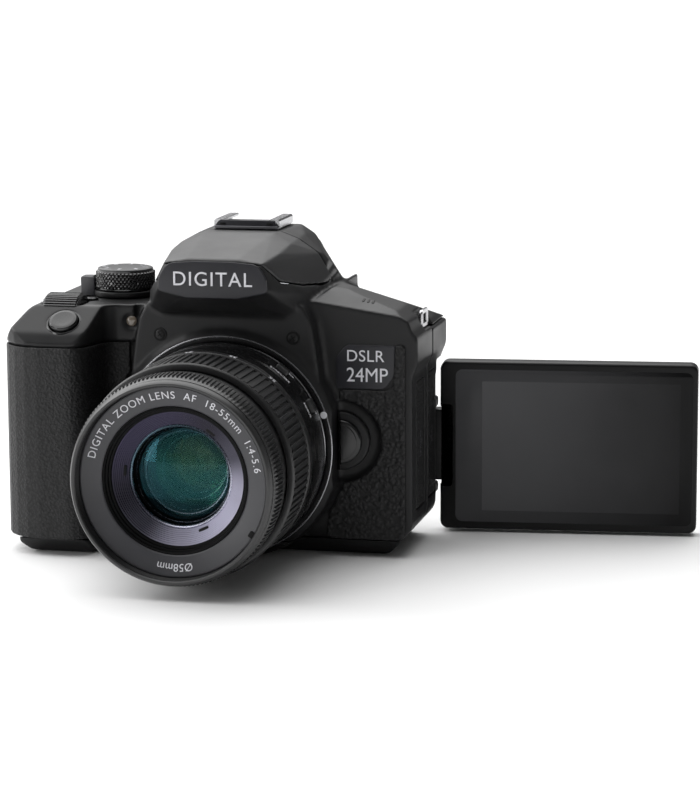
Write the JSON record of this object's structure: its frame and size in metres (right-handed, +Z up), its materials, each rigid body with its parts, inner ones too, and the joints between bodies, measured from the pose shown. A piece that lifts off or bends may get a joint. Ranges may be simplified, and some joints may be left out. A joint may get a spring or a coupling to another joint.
{
  "type": "dslr camera",
  "caption": "Digital single-lens reflex camera with hand grip, pop-up flash, short zoom lens and a swing-out screen opened towards the front.",
  "frame": {"origin": "on the flat underside, on the lens axis, between the front and the back of the base", "axes": "+Z up; -Y out of the lens; +X towards the swing-out screen"},
  "size_m": [0.2123, 0.127, 0.1026],
  "materials": {
    "shell": "satin textured black plastic",
    "black_plastic": "black moulded plastic",
    "screen_frame": "black screen frame",
    "button": "semi-gloss button",
    "focus_rubber": "fine toothed ring",
    "name_ring": "matt ring round the front element",
    "skin": "leather-grained rubber",
    "steel": "bright steel",
    "lens_glass": "coated optical glass",
    "sensor": "sensor cover glass",
    "screen_glass": "dark display cover",
    "flash_lamp": "ribbed clear lamp cover",
    "mirror": "silvered mirror",
    "curtain": "blackened blade"
  },
  "bodies": {
    "root": {"chassis": "steel", "front_cover": "shell", "top_cover": "shell", "rear_cover": "shell", "bottom_cover": "shell", "grip_skin": "skin", "side_skin": "skin", "thumb_rest": "skin", "lens_mount_ring": "steel", "mirror_box": "black_plastic", "shutter_unit": "black_plastic", "image_sensor": "sensor", "focusing_screen": "lens_glass", "pentamirror": "black_plastic", "eyepiece_lens": "lens_glass", "eyecup": "skin", "hot_shoe": "steel", "strap_lug_left": "steel", "strap_lug_right": "steel", "battery": "black_plastic", "tripod_socket": "steel", "rear_barrel": "black_plastic", "rear_element": "lens_glass"},
    "power_lever": {"power_lever": "black_plastic"},
    "mode_dial": {"mode_dial": "black_plastic"},
    "main_dial": {"main_dial": "black_plastic"},
    "shutter_button": {"shutter_button": "button"},
    "iso_button": {"iso_button": "black_plastic"},
    "lens_release": {"lens_release_button": "black_plastic"},
    "lock_pin": {"lens_lock_pin": "steel"},
    "mirror": {"reflex_mirror": "mirror"},
    "sub_mirror": {"sub_mirror": "mirror"},
    "curtain": {"shutter_curtain": "curtain"},
    "dioptric_knob": {"dioptric_knob": "black_plastic"},
    "flash": {"flash_lid": "shell", "flash_head": "flash_lamp"},
    "zoom_ring": {"zoom_ring": "black_plastic"},
    "lens_barrel": {"inner_barrel": "black_plastic", "name_ring": "name_ring", "front_element": "lens_glass"},
    "focus_ring": {"focus_ring": "focus_rubber"},
    "focus_mode_switch": {"focus_mode_switch": "black_plastic"},
    "stabiliser_switch": {"stabiliser_switch": "black_plastic"},
    "remote_cover": {"remote_terminal_cover": "skin"},
    "hdmi_cover": {"hdmi_terminal_cover": "skin"},
    "battery_door": {"battery_door": "shell"},
    "card_door": {"card_door": "shell"},
    "menu_button": {"menu_button": "black_plastic"},
    "live_view_button": {"live_view_button": "black_plastic"},
    "ae_lock_button": {"ae_lock_button": "black_plastic"},
    "af_point_button": {"af_point_button": "black_plastic"},
    "playback_button": {"playback_button": "black_plastic"},
    "erase_button": {"erase_button": "black_plastic"},
    "quick_dial": {"quick_dial": "black_plastic"},
    "cross_keys": {"cross_keys": "black_plastic"},
    "set_button": {"set_button": "black_plastic"},
    "screen_hinge": {"screen_hinge_block": "screen_frame"},
    "screen": {"screen_housing": "screen_frame", "screen_bezel": "screen_frame", "screen_display": "screen_glass"}
  },
  "joints": [
    {"name": "power_lever_turn", "type": "hinge", "parent": "root", "child": "power_lever", "pos_m": [-0.0388, -0.004, 0.079], "axis": [0, 0, -1], "range_deg": [0, 50]},
    {"name": "mode_dial_turn", "type": "hinge", "parent": "root", "child": "mode_dial", "pos_m": [-0.0388, -0.004, 0.083], "axis": [0, 0, 1], "continuous": true},
    {"name": "main_dial_turn", "type": "hinge", "parent": "root", "child": "main_dial", "pos_m": [-0.053, -0.0224, 0.0726], "axis": [1, 0, 0], "continuous": true},
    {"name": "shutter_button_press", "type": "slide", "parent": "root", "child": "shutter_button", "axis": [0, 0.5593, -0.829], "range_m": [0, 0.001], "stiffness_N_per_m": 300},
    {"name": "iso_button_press", "type": "slide", "parent": "root", "child": "iso_button", "axis": [0, 0, -1], "range_m": [0, 0.0005], "stiffness_N_per_m": 300},
    {"name": "lens_release_press", "type": "slide", "parent": "root", "child": "lens_release", "axis": [0, 1, 0], "range_m": [0, 0.0018], "stiffness_N_per_m": 400},
    {"name": "lock_pin_slide", "type": "slide", "parent": "root", "child": "lock_pin", "axis": [0, 1, 0], "range_m": [0, 0.0018]},
    {"name": "mirror_flip", "type": "hinge", "parent": "root", "child": "mirror", "pos_m": [0, 0.003, 0.051], "axis": [-1, 0, 0], "range_deg": [0, 45]},
    {"name": "sub_mirror_fold", "type": "hinge", "parent": "mirror", "child": "sub_mirror", "pos_m": [0, -0.00443, 0.04145], "axis": [-1, 0, 0], "range_deg": [0, 90]},
    {"name": "curtain_travel", "type": "slide", "parent": "root", "child": "curtain", "axis": [0, 0, -1], "range_m": [0, 0.0165]},
    {"name": "dioptric_turn", "type": "hinge", "parent": "root", "child": "dioptric_knob", "pos_m": [-0.0238, 0.026, 0.0855], "axis": [0, 1, 0], "range_deg": [-90, 90]},
    {"name": "flash_raise", "type": "hinge", "parent": "root", "child": "flash", "pos_m": [0, -0.001, 0.0993], "axis": [-1, 0, 0], "range_deg": [0, 60]},
    {"name": "zoom_turn", "type": "hinge", "parent": "root", "child": "zoom_ring", "pos_m": [0, -0.062, 0.035], "axis": [0, -1, 0], "range_deg": [0, 70]},
    {"name": "barrel_extend", "type": "slide", "parent": "root", "child": "lens_barrel", "axis": [0, -1, 0], "range_m": [0, 0.014]},
    {"name": "focus_turn", "type": "hinge", "parent": "lens_barrel", "child": "focus_ring", "pos_m": [0, -0.082, 0.035], "axis": [0, -1, 0], "continuous": true},
    {"name": "stabiliser_switch_slide", "type": "slide", "parent": "root", "child": "stabiliser_switch", "axis": [-0.7771, 0, 0.6293], "range_m": [0, 0.002]},
    {"name": "focus_mode_switch_slide", "type": "slide", "parent": "root", "child": "focus_mode_switch", "axis": [-0.454, 0, 0.891], "range_m": [0, 0.002]},
    {"name": "remote_cover_open", "type": "hinge", "parent": "root", "child": "remote_cover", "pos_m": [0.0582, -0.0145, 0.034], "axis": [0, 0, 1], "range_deg": [-100, 0]},
    {"name": "hdmi_cover_open", "type": "hinge", "parent": "root", "child": "hdmi_cover", "pos_m": [0.0582, 0.005, 0.034], "axis": [0, 0, 1], "range_deg": [-100, 0]},
    {"name": "battery_door_open", "type": "hinge", "parent": "root", "child": "battery_door", "pos_m": [-0.046, -0.016, 0.0005], "axis": [0, -1, 0], "range_deg": [0, 95]},
    {"name": "card_door_open", "type": "hinge", "parent": "root", "child": "card_door", "pos_m": [-0.0692, 0.019, 0.036], "axis": [0, 0, -1], "range_deg": [0, 100]},
    {"name": "menu_button_press", "type": "slide", "parent": "root", "child": "menu_button", "axis": [0, -1, 0], "range_m": [0, 0.0006], "stiffness_N_per_m": 300},
    {"name": "live_view_button_press", "type": "slide", "parent": "root", "child": "live_view_button", "axis": [0, -1, 0], "range_m": [0, 0.0006], "stiffness_N_per_m": 300},
    {"name": "ae_lock_button_press", "type": "slide", "parent": "root", "child": "ae_lock_button", "axis": [0, -1, 0], "range_m": [0, 0.0006], "stiffness_N_per_m": 300},
    {"name": "af_point_button_press", "type": "slide", "parent": "root", "child": "af_point_button", "axis": [0, -1, 0], "range_m": [0, 0.0006], "stiffness_N_per_m": 300},
    {"name": "playback_button_press", "type": "slide", "parent": "root", "child": "playback_button", "axis": [0, -1, 0], "range_m": [0, 0.0006], "stiffness_N_per_m": 300},
    {"name": "erase_button_press", "type": "slide", "parent": "root", "child": "erase_button", "axis": [0, -1, 0], "range_m": [0, 0.0006], "stiffness_N_per_m": 300},
    {"name": "quick_dial_turn", "type": "hinge", "parent": "root", "child": "quick_dial", "pos_m": [-0.048, 0.027, 0.036], "axis": [0, 1, 0], "continuous": true},
    {"name": "cross_keys_rock", "type": "hinge", "parent": "root", "child": "cross_keys", "pos_m": [-0.048, 0.0266, 0.036], "axis": [1, 0, 0], "range_deg": [-2, 2], "stiffness_Nm_per_rad": 0.05},
    {"name": "set_button_press", "type": "slide", "parent": "root", "child": "set_button", "axis": [0, -1, 0], "range_m": [0, 0.0003], "stiffness_N_per_m": 300},
    {"name": "screen_swing", "type": "hinge", "parent": "root", "child": "screen_hinge", "pos_m": [0.0565, 0.0232, 0.0283], "axis": [0, 0, -1], "range_deg": [-175, 0]},
    {"name": "screen_tilt", "type": "hinge", "parent": "screen_hinge", "child": "screen", "pos_m": [0.0565, 0.0232, 0.0283], "axis": [-0.9962, -0.0872, 0], "range_deg": [0, 270]}
  ],
  "couplings": [
    {"joint": "lock_pin_slide", "follows": "lens_release_press", "ratio": 1},
    {"joint": "sub_mirror_fold", "follows": "mirror_flip", "ratio": 2},
    {"joint": "barrel_extend", "follows": "zoom_turn", "m_per_rad": 0.011459}
  ]
}
